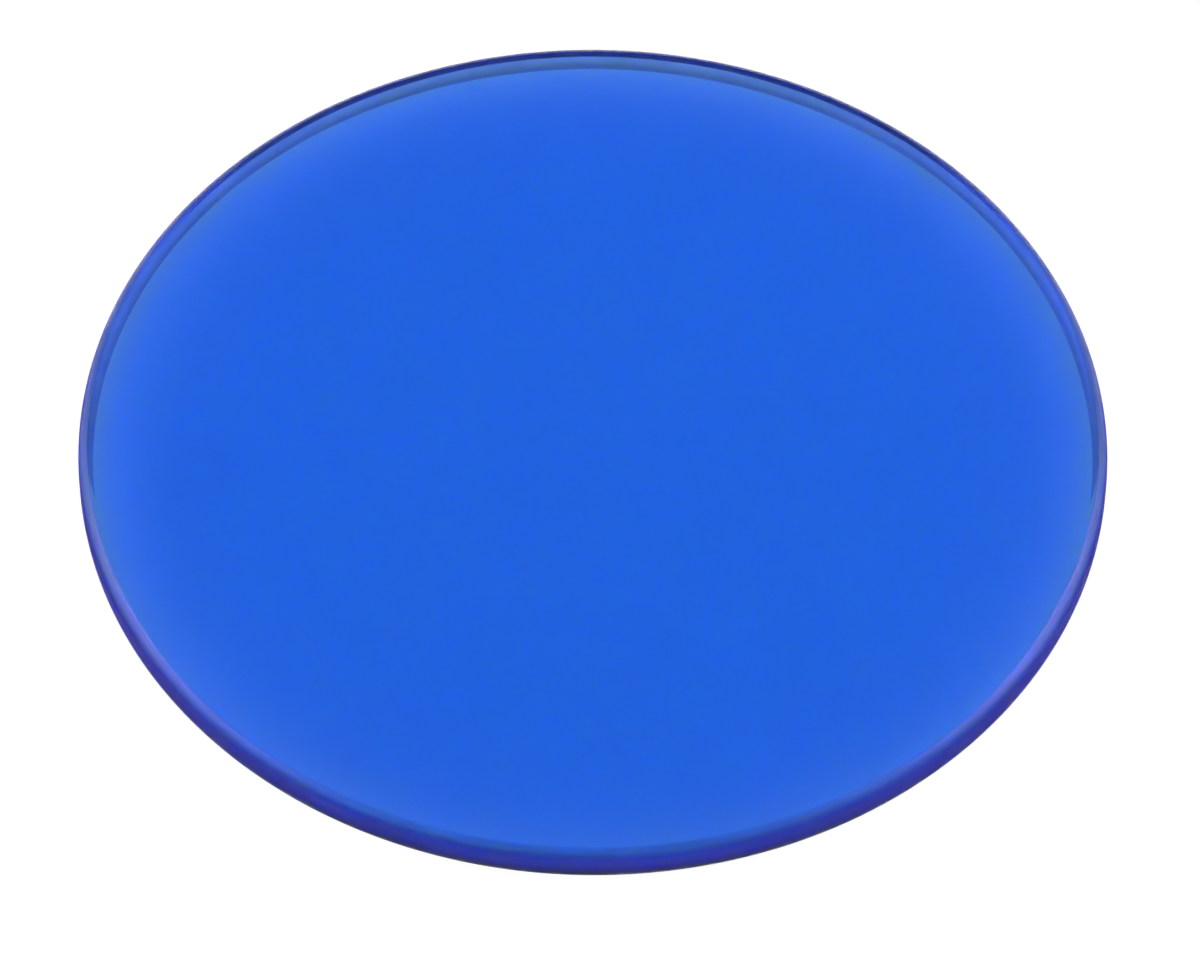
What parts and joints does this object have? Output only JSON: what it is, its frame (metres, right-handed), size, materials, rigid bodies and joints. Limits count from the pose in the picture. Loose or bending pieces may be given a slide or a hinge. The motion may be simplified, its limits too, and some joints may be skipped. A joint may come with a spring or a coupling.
{
  "type": "tinted glass disc",
  "caption": "Flat round disc of clear blue glass, tinted all through, with polished faces and a finely ground rounded rim. Probably a drop-in colour lens for a small light; use and size are guesses.",
  "frame": {"origin": "centre of the lower face, on the axis of the disc", "axes": "+Z along the disc's axis, from the lower face to the upper face; the disc is the same all round, so +X and +Y are any two directions across it"},
  "size_m": [0.05, 0.05, 0.002],
  "materials": {
    "blue_glass": "clear deep-blue glass, tinted all through; polished flat faces, finely ground rounded rim"
  },
  "bodies": {
    "root": {"glass_disc": "blue_glass"}
  },
  "joints": []
}
